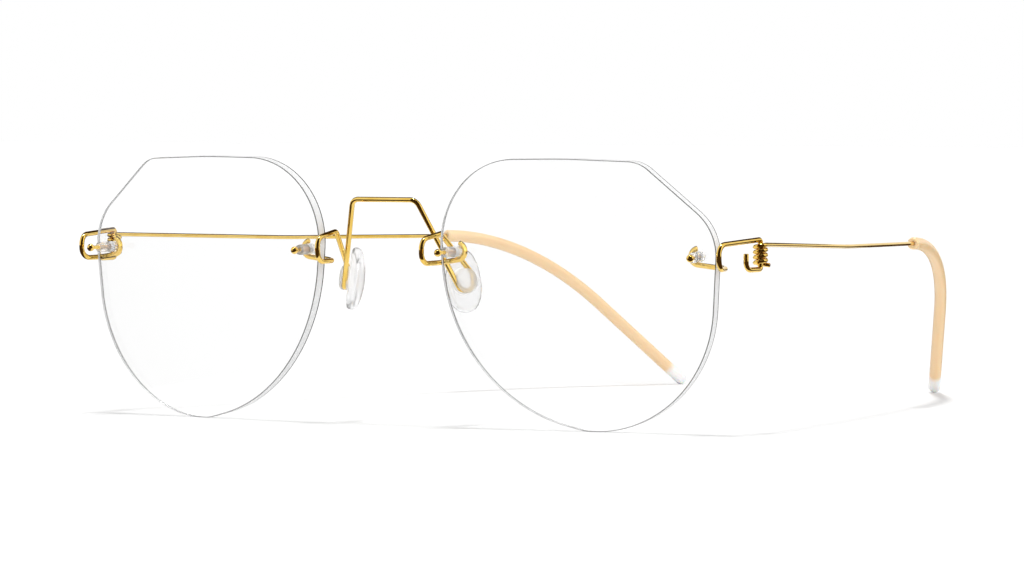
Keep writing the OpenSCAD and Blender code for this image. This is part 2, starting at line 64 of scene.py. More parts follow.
# Pins and bushes
NASAL_V, TEMPORAL_V = 6.7, 6.4
NASAL_INSET, TEMPORAL_INSET = 2.4, 3.2
BUSH_D, BUSH_CLEAR, BUSH_FRONT, BUSH_BACK = 1.7, 0.02, 2.1, 1.5
BALL_D, BALL_REACH = 1.25, 3.7
SHANK_D, RING_H, SHANK_CLEAR, PIN_L = 0.6, 0.06, 0.01, 4.9
BUSH_ROUND = 0.16
TEETH, TOOTH_L, TOOTH_TOP = 10, 0.3, 0.05

# Wire clips
WIRE_D = 0.85
CLIP_H, CLIP_BEND_R, BAR_FLAT = 3.9, 1.1, 0.5
NASAL_OVER, TEMPORAL_OVER = 2, 1.45
NASAL_REACH, TEMPORAL_REACH = 3, 2.3
EYE_CLEAR, EYE_BACK_CLEAR, EYE_END = 0.05, 0.15, 100

# Bridge and nose pads
BRIDGE_HALF, BRIDGE_Y, BRIDGE_Z, BRIDGE_BEND_R = 6.2, 1.3, 15.1, 1.6
NASAL_ARM = (0.3, 5.9, 1)
PAD_SPACING, PAD_Y, PAD_Z = 21.4, 9.1, 1.8
PAD_SPLAY, PAD_FLARE = math.radians(22), math.radians(6)
PAD_H, PAD_W, PAD_T = 10.3, 6.6, 1.5
RIM_SHARE, PAD_EGG, PAD_BOW, PAD_DOME = 0.1, 0.12, 0.5, 0.3
BOSS_D, BOSS_LEAD, BOSS_H, BOSS_FOOT_R, BOSS_RIM_R = 4, 0.6, 1.75, 0.2, 0.35
TURN_W, TURN_FALL, TURN_BACK, TURN_FRONT, TURN_BEND_R = 2.8, 1.5, 0.6, 1.7, 1.1
PAD_CLEAR = 0.03

# Endpieces, hinges and temples
END_OUT, END_L, END_RISE = 0.9, 11.5, 0.7
HINGE_BEND_R, HOOK_L, HOOK_H, HOOK_BEND_R = 0.5, 4.5, 2.6, 1.3
COIL_TURNS, COIL_GAP = 2.75, 0.43
HINGE_CLEAR, COIL_END_CLEAR, STUB_L = 0.1, 0.05, 1.3
TEMPLE_D = 0.7
TOE = math.radians(10.9)
DIP_L, DIP_FALL, DIP_BEND_R = 40, 1.3, 150
EAR_L, EAR_IN, EAR_FALL, EAR_BEND_R = 98, 19.7, 2, 50
TIP_L, TIP_IN = 125.3, 36.5
SLEEVE_D, SLEEVE_CLEAR, SLEEVE_LEAD, SLEEVE_END_L = 2.1, 0.02, 0.4, 4.5
SLEEVE_LIP = 0.25

# The real coil is wound closer than the solid's, within the same height
SHOWN_TURNS = 3.75

# Fineness of the meshes
WIRE_SIDES, SLEEVE_SIDES, PAD_SIDES, ROUND_SIDES = 24, 32, 72, 40
BEND_STEPS, EYE_STEPS, COIL_STEPS, LONG_STEPS = 10, 30, 40, 28
OUTLINE_STEPS = (12, 12, 12, 48, 8, 48, 36)
LENS_RINGS, LENS_RING_SPREAD = 40, 0.8
PLATE_RINGS, PLATE_CORE, RIM_STEPS, BOSS_STEPS = 10, 0.03, 15, 6
BALL_STEPS, TIP_STEPS, BUSH_STEPS, POLE_DEG = 22, 9, 6, 85
END_ROUND = 0.12
SHARP, LENS_SHARP = math.radians(38), math.radians(30)

# One unit of the UV maps, and the even step between the rings of lenses and pads in them
UV_UNIT = 10
LENS_UV_STEP, PAD_UV_STEP = 2, 0.4

WIRE_R, TEMPLE_R, SLEEVE_R = WIRE_D / 2, TEMPLE_D / 2, SLEEVE_D / 2


def vec(*p):
    return np.array(p, float)


def unit(v):
    return v / np.linalg.norm(v)


def half_open(a, b, c):
    """Half the angle at b between a and c."""
    return math.acos(np.clip(unit(a - b) @ unit(c - b), -1, 1)) / 2


def corner_arc(a, b, c, r, steps):
    """Points of the arc of radius r that rounds the corner b between a and c."""
    to_a, to_c, half = unit(a - b), unit(c - b), half_open(a, b, c)
    turn = math.pi - 2 * half
    middle = b + unit(to_a + to_c) * r / math.sin(half)
    from_a = b + to_a * r / math.tan(half) - middle
    from_c = b + to_c * r / math.tan(half) - middle
    return [
        middle + (from_a * math.sin(turn * (1 - t)) + from_c * math.sin(turn * t)) / math.sin(turn)
        for t in np.linspace(0, 1, steps + 1)
    ]


def bent_path(corners, radii, steps):
    """Open path through corners, each but the two ends rounded with its bend radius."""
    path = [corners[0]]
    for i in range(1, len(corners) - 1):
        path += corner_arc(corners[i - 1], corners[i], corners[i + 1], radii[i], steps)
    return path + [corners[-1]]


# Lens outline seen from the front, outward and up
half_w, half_h = LENS_W / 2, LENS_H / 2
lens_x = LENS_SPACING / 2
top_v, cut_v = half_h - CROWN_DROP, half_h - CUT_H
crown = vec(CROWN_U, half_h)
cut_top = vec(half_w - CUT_W, top_v)
cut_side = vec(half_w, cut_v)
outer_foot = vec(half_w - OUTER_TAPER, -half_h)
keel = vec(KEEL_U, -half_h)
inner_foot = vec(INNER_TAPER - half_w, KEEL_RISE - half_h)
inner_top = vec(-half_w, top_v)


def lens_outline():
    """Points round the lens, with its three big sweeps filling their sides up to the flats."""
    corners = [crown, cut_top, cut_side, outer_foot, keel, inner_foot, inner_top]
    halves = [half_open(corners[i - 1], corners[i], corners[(i + 1) % 7]) for i in range(7)]
    keel_run = KEEL_R / math.tan(halves[4])
    outer_run = np.linalg.norm(outer_foot - keel) - keel_run - OUTER_FLAT
    inner_run = np.linalg.norm(inner_foot - keel) - keel_run - INNER_FLAT
    nose_run = np.linalg.norm(inner_top - inner_foot) - inner_run - NOSE_FLAT
    radii = [
        CROWN_R,
        CUT_TOP_R,
        CUT_SIDE_R,
        outer_run * math.tan(halves[3]),
        KEEL_R,
        inner_run * math.tan(halves[5]),
        nose_run * math.tan(halves[6]),
    ]
    points = []
    for i, (corner, r, steps) in enumerate(zip(corners, radii, OUTLINE_STEPS)):
        points += corner_arc(corners[i - 1], corner, corners[(i + 1) % 7], r, steps)
    return np.array(points)


def sag(u, v, r=FRONT_R):
    """Depth of the lens's front surface behind its foremost point, or of the back's with its r."""
    return FRONT_R - np.sqrt(r * r - u * u - v * v)


def lens_to_frame(p):
    y = p[1] * math.cos(TILT) - p[2] * math.sin(TILT)
    z = p[1] * math.sin(TILT) + p[2] * math.cos(TILT)
    return vec(
        lens_x + p[0] * math.cos(WRAP) - y * math.sin(WRAP),
        p[0] * math.sin(WRAP) + y * math.cos(WRAP),
        z,
    )


def edge_u(outer, v):
    """Side of the lens at height v."""
    if outer:
        return half_w - OUTER_TAPER * (cut_v - v) / (cut_v + half_h)
    return INNER_TAPER * (top_v - v) / (top_v + half_h - KEEL_RISE) - half_w


class Hole:
    """A drilled hole of the left lens, with its own directions: out of the front, sideways, up."""

    def __init__(self, outer, v, inset, over, reach):
        sign = 1 if outer else -1
        u = edge_u(outer, v) - sign * inset
        self.out = vec(u, sag(u, v) - FRONT_R, v) / FRONT_R
        self.side = unit(np.cross([0, 0, 1], self.out)) * sign
        self.up = np.cross(self.side, self.out) * -sign
        self.face = vec(u, sag(u, v), v)
        self.reach = reach
        bar_u = edge_u(outer, v) + sign * over
        self.bar = (bar_u - u - self.out[0] * reach) / self.side[0]

    def point(self, side, up, out):
        return lens_to_frame(self.face + self.side * side + self.up * up + self.out * out)

    def clip(self):
        """Path of the wire round the bush, and the corners of the clip that goes on from it."""
        eye_r = BUSH_D / 2 + EYE_CLEAR + WIRE_R
        eye_out = -LENS_T - EYE_BACK_CLEAR - WIRE_R
        half = CLIP_H / 2
        to_corner = math.atan2(-half, self.bar) + 2 * math.pi
        meet = to_corner - math.acos(eye_r / math.hypot(half, self.bar))
        eye = [
            self.point(eye_r * math.cos(a), eye_r * math.sin(a), eye_out)
            for a in np.linspace(math.radians(EYE_END), meet, EYE_STEPS + 1)
        ]
        corners = [
            eye[-1],
            self.point(self.bar, -half, eye_out),
            self.point(self.bar, -half, self.reach),
            self.point(self.bar, half, self.reach),
        ]
        return eye[:-1], corners


nasal = Hole(False, NASAL_V, NASAL_INSET, NASAL_OVER, NASAL_REACH)
temporal = Hole(True, TEMPORAL_V, TEMPORAL_INSET, TEMPORAL_OVER, TEMPORAL_REACH)

# Pad frame: along the plate to the rear, up the plate, and out of it away from the nose
pad_mid = vec(PAD_SPACING / 2, PAD_Y, PAD_Z)
pad_back = vec(math.sin(PAD_SPLAY), math.cos(PAD_SPLAY), 0)
pad_up = unit(vec(
    -math.sin(PAD_FLARE) * math.cos(PAD_SPLAY),
    math.sin(PAD_FLARE) * math.sin(PAD_SPLAY),
    math.cos(PAD_FLARE),
))
pad_out = np.cross(pad_back, pad_up)


def pad_point(back, up, out):
    return pad_mid + pad_back * back + pad_up * up + pad_out * out


def bridge_half_path():
    """The bridge wire from its free end round the nasal bush to the middle of the bridge."""
    eye, clip = nasal.clip()
    turn_out = PAD_T / 2 + BOSS_H / 2
    corners = clip + [
        clip[3] + vec(*NASAL_ARM),
        pad_point(TURN_BACK, TURN_W - TURN_FALL, turn_out),
        pad_point(TURN_BACK, -TURN_FALL, turn_out),
        pad_point(-TURN_FRONT, -TURN_FALL, turn_out),
        vec(BRIDGE_HALF, BRIDGE_Y, BRIDGE_Z),
        vec(0, BRIDGE_Y, BRIDGE_Z),
    ]
    c, f, t = CLIP_BEND_R, (CLIP_H - BAR_FLAT) / 2, TURN_BEND_R
    return eye + bent_path(corners, [0, c, f, f, c, t, t, c, BRIDGE_BEND_R, 0], BEND_STEPS)


# Hinge and temple
coil_r = WIRE_R + HINGE_CLEAR + TEMPLE_R
coil_climb = COIL_TURNS * (TEMPLE_D + COIL_GAP)
axis_l = coil_climb + TEMPLE_D + WIRE_D + 2 * COIL_END_CLEAR
hinge_top = temporal.clip()[1][3] + vec(END_OUT, END_L, END_RISE)
hinge_foot = hinge_top - vec(0, 0, axis_l)
coil_foot = hinge_foot + vec(0, 0, WIRE_R + COIL_END_CLEAR + TEMPLE_R)
ground_z = sag(KEEL_U, half_h) * math.sin(TILT) - half_h * math.cos(TILT)
coil_top = coil_foot + vec(coil_r * math.cos(TOE), coil_r * math.sin(TOE), coil_climb)
dip_point = coil_top + vec(-DIP_L * math.tan(TOE), DIP_L, -DIP_FALL)
ear_corner = vec(hinge_top[0] - EAR_IN, hinge_top[1] + EAR_L, coil_top[2] - EAR_FALL)
tip_ball = vec(hinge_top[0] - TIP_IN, hinge_top[1] + TIP_L, ground_z + SLEEVE_R)
tip_dir = unit(tip_ball - ear_corner)
tip_point = tip_ball + tip_dir * SLEEVE_R
wire_end = tip_point - tip_dir * SLEEVE_END_L
ear_run_out = EAR_BEND_R / math.tan(half_open(dip_point, ear_corner, tip_point))
sleeve_start = ear_corner - unit(ear_corner - dip_point) * (ear_run_out + SLEEVE_LEAD)

# The row frame's origin is at the middle of the width and length, on the table
front_y = nasal.point(0, 0, BALL_REACH)[1] - BALL_D / 2
rear_y = tip_ball[1] + SLEEVE_R
SHIFT = vec(0, -(front_y + rear_y) / 2, -ground_z)


def end_path():
    eye, clip = temporal.clip()
    hook = hinge_foot - vec(0, HOOK_L, 0)
    corners = clip + [hinge_top, hinge_foot, hook, hook + vec(0, 0, HOOK_H)]
    c, f, h = CLIP_BEND_R, (CLIP_H - BAR_FLAT) / 2, HINGE_BEND_R
    return eye + bent_path(corners, [0, c, f, f, h, h, HOOK_BEND_R, 0], BEND_STEPS)


def temple_path():
    count = round(SHOWN_TURNS * COIL_STEPS)
    coil = []
    for i in range(count + 1):
        a, climb = TOE + 2 * math.pi * (i / COIL_STEPS - SHOWN_TURNS), coil_climb * i / count
        coil.append(coil_foot + vec(coil_r * math.cos(a), coil_r * math.sin(a), climb))
    corners = [coil_top, dip_point, ear_corner, wire_end]
    run = bent_path(corners, [0, DIP_BEND_R, EAR_BEND_R, 0], LONG_STEPS)
    return [coil[0] - unit(coil[1] - coil[0]) * STUB_L] + coil + run[1:]


def to_row(points, side):
    """From the front frame in millimetres to the row frame in metres, mirrored on the right."""
    points = np.array(points) * [1 if side == "left" else -1, 1, 1]
    return (points + SHIFT) * MM


def path_frames(path):
    """Directions along a path, and a sideways direction that follows it without twist."""
    p = np.array(path)
    step = np.diff(p, axis=0)
    step /= np.linalg.norm(step, axis=1)[:, None]
    dirs = np.vstack([step[:1], step[:-1] + step[1:], step[-1:]])
    dirs /= np.linalg.norm(dirs, axis=1)[:, None]
    side = unit(np.cross(dirs[0], [0, 0, 1] if abs(dirs[0][2]) < 0.9 else [0, 1, 0]))
    sides = []
    for d in dirs:
        side = unit(side - d * (side @ d))
        sides.append(side)
    return p, dirs, np.array(sides)


def rings_on(path, radii, sides):
    """Rings of points round a path, and how far along it each ring is."""
    p, dirs, across = path_frames(path)
    up = np.cross(dirs, across)
    a = np.linspace(0, 2 * math.pi, sides, endpoint=False)
    ring = across[:, None] * np.cos(a)[None, :, None] + up[:, None] * np.sin(a)[None, :, None]
    rings = p[:, None] + ring * np.array(radii)[:, None, None]
    along = np.concatenate([[0], np.cumsum(np.linalg.norm(np.diff(p, axis=0), axis=1))])
    return rings, along


def rounded_wire(path, r):
    """A wire's path and radii, with its two ends slightly rounded within its own length."""
    p = [np.array(q) for q in path]
    head, tail = unit(p[1] - p[0]), unit(p[-2] - p[-1])
    turns = [math.radians(a) for a in (0, 30, 60, 90)]
    inset = [END_ROUND * (1 - math.cos(a)) for a in turns]
    radii = [r - END_ROUND * (1 - math.sin(a)) for a in turns]
    front, rear = [p[0] + head * s for s in inset], [p[-1] + tail * s for s in reversed(inset)]
    return front + p[1:-1] + rear, radii + [r] * (len(p) - 2) + radii[::-1]


def joined(rings, loop):
    """Quads between neighbouring rings, and from the last to the first where they form a loop."""
    count, sides = len(rings), len(rings[0])
    for i in range(count if loop else count - 1):
        for k in range(sides):
            n, m = (i + 1) % count, (k + 1) % sides
            yield (i * sides + k, i * sides + m, n * sides + m, n * sides + k)


def mesh_of_rings(name, rings, along, loop=False):
    """A mesh from rings of points, with faces over its two ends unless the rings form a loop.

    Its UV map holds the distance along in UV units and the share of the way round.
    """
    sides = len(rings[0])
    faces = list(joined(rings, loop))
    if not loop:
        faces.append(tuple(reversed(range(sides))))
        faces.append(tuple(range((len(rings) - 1) * sides, len(rings) * sides)))
    mesh = bpy.data.meshes.new(name)
    mesh.from_pydata(np.reshape(rings, (-1, 3)).tolist(), [], faces)
    layer = mesh.uv_layers.new(name="UVMap")
    for poly in mesh.polygons:
        for corner, loop_index in enumerate(poly.loop_indices):
            ring, k = divmod(mesh.loops[loop_index].vertex_index, sides)
            if k == 0 and len(poly.vertices) == 4 and corner in (1, 2):
                k = sides
            layer.data[loop_index].uv = (along[ring] / UV_UNIT, k / sides)
    return outward(mesh)


def outward(mesh):
    """Faces turned outward, and shaded smooth but for real edges."""
    shape = bmesh.new()
    shape.from_mesh(mesh)
    bmesh.ops.recalc_face_normals(shape, faces=shape.faces)
    shape.to_mesh(mesh)
    shape.free()
    mesh.shade_smooth()
    mesh.set_sharp_from_angle(angle=SHARP)
    return mesh


def new_object(name, data):
    made = bpy.data.objects.new(name, data)
    bpy.context.scene.collection.objects.link(made)
    return made


def cut(mesh, cutters):
    """The mesh with the cutter meshes taken out of it."""
    target = new_object(mesh.name + "_uncut", mesh)
    tools = []
    for cutter in cutters:
        tool = new_object(cutter.name, cutter)
        modifier = target.modifiers.new("cut", "BOOLEAN")
        modifier.operation = "DIFFERENCE"
        modifier.solver = "EXACT"
        modifier.object = tool
        tools.append(tool)
    bpy.context.view_layer.update()
    shaped = target.evaluated_get(bpy.context.evaluated_depsgraph_get())
    result = bpy.data.meshes.new_from_object(shaped)
    result.name = mesh.name
    for spare in [target] + tools:
        bpy.data.objects.remove(spare)
    return result


def add_piece(name, mesh, body, node, materials=()):
    """Puts a finished mesh in the scene, on its body and in place of its CAD node.

    The materials are for a mesh that doesn't bring its own.
    """
    piece = new_object(name, mesh)
    for made in materials:
        mesh.materials.append(made)
    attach(piece, body)
    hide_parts(node)
    return piece


# Materials


class Surface:
    """A material with one Principled shader and its procedural detail."""

    def __init__(self, name, color, **sockets):
        self.material = bpy.data.materials.new(name)
        self.material.use_nodes = True
        self.tree = self.material.node_tree
        self.shader = self.tree.nodes["Principled BSDF"]
        self.shader.inputs["Base Color"].default_value = (*color, 1)
        for socket, value in sockets.items():
            self.shader.inputs[socket.replace("_", " ")].default_value = value

    def node(self, kind, **values):
        made = self.tree.nodes.new("ShaderNode" + kind)
        for key, value in values.items():
            if key in made.inputs:
                made.inputs[key].default_value = value
            else:
                setattr(made, key, value)
        return made

    def link(self, start, end):
        self.tree.links.new(start, end)

    def place(self, wire=False, scale=(1, 1, 1)):
        """Coordinates for a pattern: the object's own, or along and round a wire."""
        source = self.node("UVMap", uv_map="UVMap") if wire else self.node("TexCoord")
        mapping = self.node("Mapping", Scale=scale)
        self.link(source.outputs["UV" if wire else "Object"], mapping.inputs["Vector"])
        return mapping.outputs["Vector"]

    def noise(self, at, scale, detail=3.0):
        made = self.node("TexNoise", Scale=scale, Detail=detail)
        self.link(at, made.inputs["Vector"])
        return made.outputs["Fac"]

    def ranged(self, value, low, high, start=0.3, end=0.7):
        names = ("From Min", "From Max", "To Min", "To Max")
        made = self.node("MapRange", **dict(zip(names, (start, end, low, high))))
        self.link(value, made.inputs["Value"])
        return made.outputs["Result"]

    def roughness(self, value, low, high):
        self.link(self.ranged(value, low, high), self.shader.inputs["Roughness"])

    def colors(self, value, first, second):
        """Blends the base colour from first to second as value goes from 0 to 1."""
        mix = self.node("Mix", data_type="RGBA")
        colors = [s for s in mix.inputs if s.type == "RGBA"]
        colors[0].default_value = (*first, 1)
        colors[1].default_value = (*second, 1)
        self.link(value, mix.inputs[0])
        result = [s for s in mix.outputs if s.type == "RGBA"][0]
        self.link(result, self.shader.inputs["Base Color"])

    def bump(self, value, strength, distance_mm):
        made = self.node("Bump", Strength=strength, Distance=distance_mm * MM)
        self.link(value, made.inputs["Height"])
        self.link(made.outputs["Normal"], self.shader.inputs["Normal"])

    def scatter(self, weight, radius, scale_mm):
        """Light goes in and comes out again near by, as in silicone."""
        self.shader.inputs["Subsurface Weight"].default_value = weight
        self.shader.inputs["Subsurface Radius"].default_value = radius
        self.shader.inputs["Subsurface Scale"].default_value = scale_mm * MM

    def lets_light_through(self, share):
        """Lamps shine through, as they do through clear plastic, instead of a solid's shadow."""
        rays = self.node("LightPath")
        clear = self.node("BsdfTransparent", Color=(share, share, share, 1))
        mix = self.node("MixShader")
        self.link(rays.outputs["Is Shadow Ray"], mix.inputs[0])
        self.link(self.shader.outputs[0], mix.inputs[1])
        self.link(clear.outputs[0], mix.inputs[2])
        self.link(mix.outputs[0], self.tree.nodes["Material Output"].inputs["Surface"])


def gold_material():
    """Polished gold plating on drawn wire: fine lines along it, and slow changes of colour."""
    s = Surface("gold", (0.9, 0.6, 0.15), Metallic=1.0)
    lines = s.noise(s.place(wire=True, scale=(3, 30, 1)), 1.0)
    s.roughness(lines, 0.03, 0.07)
    s.colors(s.ranged(s.noise(s.place(), 300.0), 0, 1), (0.85, 0.55, 0.11), (0.93, 0.66, 0.19))
    s.bump(lines, 0.03, 0.01)
    return s.material


def shank_material():
    """The pins' serrated shanks, left duller and browner than the plated wire."""
    s = Surface("gold_shank", (0.42, 0.24, 0.07), Metallic=1.0)
    marks = s.noise(s.place(), 2500.0, 2.0)
    s.roughness(marks, 0.18, 0.3)
    s.colors(s.ranged(marks, 0, 1), (0.34, 0.18, 0.05), (0.5, 0.3, 0.1))
    s.bump(marks, 0.05, 0.01)
    return s.material


def lens_material():
    """Clear acrylic with polished faces and the faintest haze."""
    s = Surface(
        "lens_clear", (0.99, 0.992, 0.992),
        Transmission_Weight=1.0, IOR=1.49, Specular_IOR_Level=0.08,
    )
    s.roughness(s.noise(s.place(), 90.0), 0.0, 0.008)
    s.lets_light_through(0.985)
    return s.material


def lens_edge_material():
    """The lens's ground edge: frosted, with the fine marks of the wheel round it."""
    s = Surface("lens_edge", (0.93, 0.935, 0.94), Transmission_Weight=0.15, IOR=1.49)
    marks = s.noise(s.place(), 1500.0, 2.0)
    s.roughness(marks, 0.35, 0.5)
    s.bump(marks, 0.05, 0.02)
    s.lets_light_through(0.25)
    return s.material


def painted_shade_bevel_material(name, painted_gray, clear):
    """A polished bevel beside the ground edge, where light turns away: its grey base colour is
    painted shade for the line that shows there.
    """
    s = Surface(name, (painted_gray, painted_gray, painted_gray), Transmission_Weight=clear, IOR=1.49)
    s.roughness(s.noise(s.place(), 700.0), 0.1, 0.2)
    s.lets_light_through(0.5)
    return s.material


def silicone_material(name, clear):
    """Clear soft silicone, cloudy where it is thick, with a matt skin."""
    s = Surface(name, (0.99, 0.99, 0.995), Transmission_Weight=clear, IOR=1.18)
    s.scatter(1.0, (1.0, 1.0, 1.0), 1.5)
    s.roughness(s.noise(s.place(), 600.0, 4.0), 0.06, 0.12)
    s.bump(s.noise(s.place(), 1800.0), 0.03, 0.02)
    s.lets_light_through(0.85)
    return s.material


def bush_material():
    """Clear nylon, drawn as a tube: faint rings along it."""
    s = Surface("bush_clear", (1.0, 0.975, 0.93), Transmission_Weight=0.82, IOR=1.12)
    s.scatter(1.0, (1.0, 1.0, 0.9), 0.6)
    rings = s.noise(s.place(wire=True, scale=(12, 1, 1)), 4.0)
    s.roughness(rings, 0.02, 0.06)
    s.bump(rings, 0.03, 0.02)
    s.lets_light_through(0.9)
    return s.material


def sleeve_material(solid_from_mm):
    """Peach silicone over the wire, whitish in the solid end beyond it."""
    s = Surface("silicone_sleeve", (0.98, 0.78, 0.52), IOR=1.41)
    s.scatter(0.6, (1.0, 0.7, 0.5), 1.2)
    parts = s.node("SeparateXYZ")
    s.link(s.place(wire=True), parts.inputs["Vector"])
    # The colour changes from a little before the wire's end to a little beyond it
    start, end = (solid_from_mm - 0.4) / UV_UNIT, (solid_from_mm + 0.8) / UV_UNIT
    s.colors(s.ranged(parts.outputs["X"], 0, 1, start, end), (1.0, 0.66, 0.39), (0.93, 0.93, 0.92))
    s.roughness(s.noise(s.place(), 500.0, 4.0), 0.3, 0.42)
    s.bump(s.noise(s.place(), 1500.0), 0.03, 0.02)
    return s.material


# Pieces


def wire_piece(name, path, r, side, body, node):
    path, radii = rounded_wire(path, r)
    rings, along = rings_on(path, radii, WIRE_SIDES)
    mesh = mesh_of_rings(name, to_row(rings, side), along)
    add_piece(name, mesh, body, node, [gold])


def revolved(name, profile, hole, side, loop=False):
    """A turned shape on a hole's axis, from points of distance out of the lens and radius."""
    turns = np.linspace(0, 2 * math.pi, ROUND_SIDES, endpoint=False)
    rings = [
        [hole.point(r * math.cos(a), r * math.sin(a), out) for a in turns] for out, r in profile
    ]
    steps = [math.dist(profile[max(i - 1, 0)], profile[i]) for i in range(len(profile))]
    return mesh_of_rings(name, to_row(rings, side), np.cumsum(steps), loop)


def arc(middle, r, start, end, steps):
    """Points of (out, radius) on an arc: 0 degrees is off the axis, 90 out of the lens."""
    return [
        (middle[0] + r * math.sin(math.radians(a)), middle[1] + r * math.cos(math.radians(a)))
        for a in np.linspace(start, end, steps)
    ]


def pin_profile():
    """From the front of the ball to the end of the serrated shank."""
    ball_r, shank_r = BALL_D / 2, SHANK_D / 2
    neck = -math.degrees(math.acos(shank_r / ball_r))
    profile = arc((BALL_REACH, 0), ball_r, POLE_DEG, neck, BALL_STEPS)
    end = BALL_REACH - PIN_L
    for i in range(TEETH, 0, -1):
        foot = end + i * TOOTH_L
        profile += [(foot, shank_r), (foot - TOOTH_TOP, shank_r + RING_H)]
        profile.append((foot - 2 * TOOTH_TOP, shank_r + RING_H))
    return profile + [(end + TOOTH_TOP, shank_r), (end, shank_r - TOOTH_TOP)]


def bush_profile():
    """Round the wall of the tube: through the bore to the front, and back along the outside."""
    bore_r, outer_r = SHANK_D / 2 + RING_H + SHANK_CLEAR, BUSH_D / 2
    front, back, r = BUSH_FRONT, -LENS_T - BUSH_BACK, BUSH_ROUND
    lip = r / 4
    profile = [(out, bore_r) for out in (back + lip, -LENS_T, 0, front - lip)]
    profile.append((front, bore_r + lip))
    profile += arc((front - r, outer_r - r), r, 90, 0, BUSH_STEPS)
    profile += [(0, outer_r), (-LENS_T, outer_r)]
    profile += arc((back + r, outer_r - r), r, 0, -90, BUSH_STEPS)
    return profile + [(back, bore_r + lip)]


def lens_mesh(name, side):
    """A meniscus of even thickness, with polished bevels round a ground edge and two holes."""
    outline = lens_outline()
    ahead = np.roll(outline, -1, 0) - np.roll(outline, 1, 0)
    normal = np.stack([-ahead[:, 1], ahead[:, 0]], 1)
    normal /= np.linalg.norm(normal, axis=1)[:, None]
    middle = outline.mean(0)
    if ((outline - middle) * normal).sum() > 0:
        normal = -normal
    inset = outline + normal * EDGE_BEVEL
    shares = np.linspace(1, 0, LENS_RINGS, endpoint=False) ** LENS_RING_SPREAD
    back_r = FRONT_R - LENS_T

    def face(points, r, depth=0):
        u, v = points.T
        return np.stack([u, sag(u, v, r) + depth, v], 1)

    front = [face(middle + (inset - middle) * s, FRONT_R) for s in shares[::-1]]
    edge = [
        face(outline, FRONT_R, EDGE_BEVEL),
        face(outline, back_r, -EDGE_BEVEL - PAINTED_SHADE_LINE),
        face(outline, back_r, -EDGE_BEVEL),
    ]
    back = [face(middle + (inset - middle) * s, back_r) for s in shares]
    rings = [np.array([lens_to_frame(p) for p in ring]) for ring in front + edge + back]
    mesh = mesh_of_rings(name, to_row(rings, side), np.arange(len(rings)) * LENS_UV_STEP)
    for made in [lens_clear, lens_edge] + lens_bevels_painted_shade:
        mesh.materials.append(made)
    # The bands between the two faces: front bevel, ground edge, the painted shade line on it in
    # the front bevel's grey, back bevel
    sides = len(outline)
    for i, index in enumerate((2, 1, 2, 3)):
        first = (LENS_RINGS - 1 + i) * sides
        for poly in mesh.polygons[first:first + sides]:
            poly.material_index = index
    drills = []
    for i, hole in enumerate((nasal, temporal)):
        r = BUSH_D / 2 + BUSH_CLEAR
        drill = revolved(f"{name}_drill_{i}", [(LENS_T, r), (-2 * LENS_T, r)], hole, side)
        drill.materials.append(lens_edge)
        drills.append(drill)
    shaped = cut(mesh, drills)
    shaped.set_sharp_from_angle(angle=LENS_SHARP)
    set_face_normals(shaped, to_row([lens_to_frame((0, FRONT_R, 0))], side)[0])
    return shaped


def set_face_normals(mesh, center):
    """True normals on a lens's two polished faces, which are both round the same centre."""
    normals = [corner.vector.copy() for corner in mesh.corner_normals]
    for poly in mesh.polygons:
        if poly.material_index != 0:
            continue
        for index in poly.loop_indices:
            out = mesh.vertices[mesh.loops[index].vertex_index].co - Vector(center)
            out.normalize()
            normals[index] = out if out.dot(poly.normal) > 0 else -out
    mesh.normals_split_custom_set(normals)


def pad_mesh(name, side):
    """An oval plate, domed towards the nose, with a round boss that the wire's turn runs in."""
    rim_r, boss_r = PAD_T / 2, BOSS_D / 2
    boss_top = rim_r + BOSS_H
    turns = np.linspace(0, 2 * math.pi, PAD_SIDES, endpoint=False)

    def plate(share, out):
        flat = [(
            share * PAD_W / 2 * math.cos(a) * (1 - PAD_EGG * math.sin(a)),
            share * PAD_H / 2 * math.sin(a),
        ) for a in turns]
        return [pad_point(b, u, out + PAD_BOW * (2 * u / PAD_H) ** 2) for b, u in flat]

    def boss(r, out):
        return [pad_point(r * math.cos(a) - BOSS_LEAD, r * math.sin(a), out) for a in turns]

    quarter = np.radians(np.linspace(0, 90, BOSS_STEPS))
    foot, rim = BOSS_FOOT_R, BOSS_RIM_R
    rings = [
        plate(s * (1 - RIM_SHARE), -rim_r - PAD_DOME * (1 - s * s))
        for s in np.linspace(PLATE_CORE, 1 - PLATE_CORE, PLATE_RINGS)
    ]
    rings += [
        plate(1 - RIM_SHARE * (1 - math.cos(a)), rim_r * math.sin(a))
        for a in np.radians(np.linspace(-90, 90, RIM_STEPS))
    ]
    foot_ring = len(rings)
    rings += [
        boss(boss_r + foot * (1 - math.sin(a)), rim_r + foot * (1 - math.cos(a)))
        for a in quarter
    ]
    rings += [
        boss(boss_r - rim * (1 - math.cos(a)), boss_top - rim * (1 - math.sin(a)))
        for a in quarter
    ]
    rings += [boss((boss_r - rim) * s, boss_top) for s in (0.75, 0.5, 0.25, PLATE_CORE)]
    mesh = mesh_of_rings(name, to_row(rings, side), np.arange(len(rings)) * PAD_UV_STEP)
    for made in silicones:
        mesh.materials.append(made)
    # The boss is cloudier; the last face but one closes the plate's middle
    for poly in mesh.polygons[foot_ring * PAD_SIDES:]:
        poly.material_index = 1
    mesh.polygons[-2].material_index = 0
    path = bridge_half_path()
    channel_rings, along = rings_on(path, [WIRE_R + PAD_CLEAR] * len(path), WIRE_SIDES)
    channel = mesh_of_rings(name + "_channel", to_row(channel_rings, side), along)
    shaped = cut(mesh, [channel])
    shaped.set_sharp_from_angle(angle=SHARP)
    return shaped


def sleeve_path():
    """The sleeve's middle line as far as the wire's end."""
    return bent_path([sleeve_start, ear_corner, wire_end], [0, EAR_BEND_R, 0], LONG_STEPS)


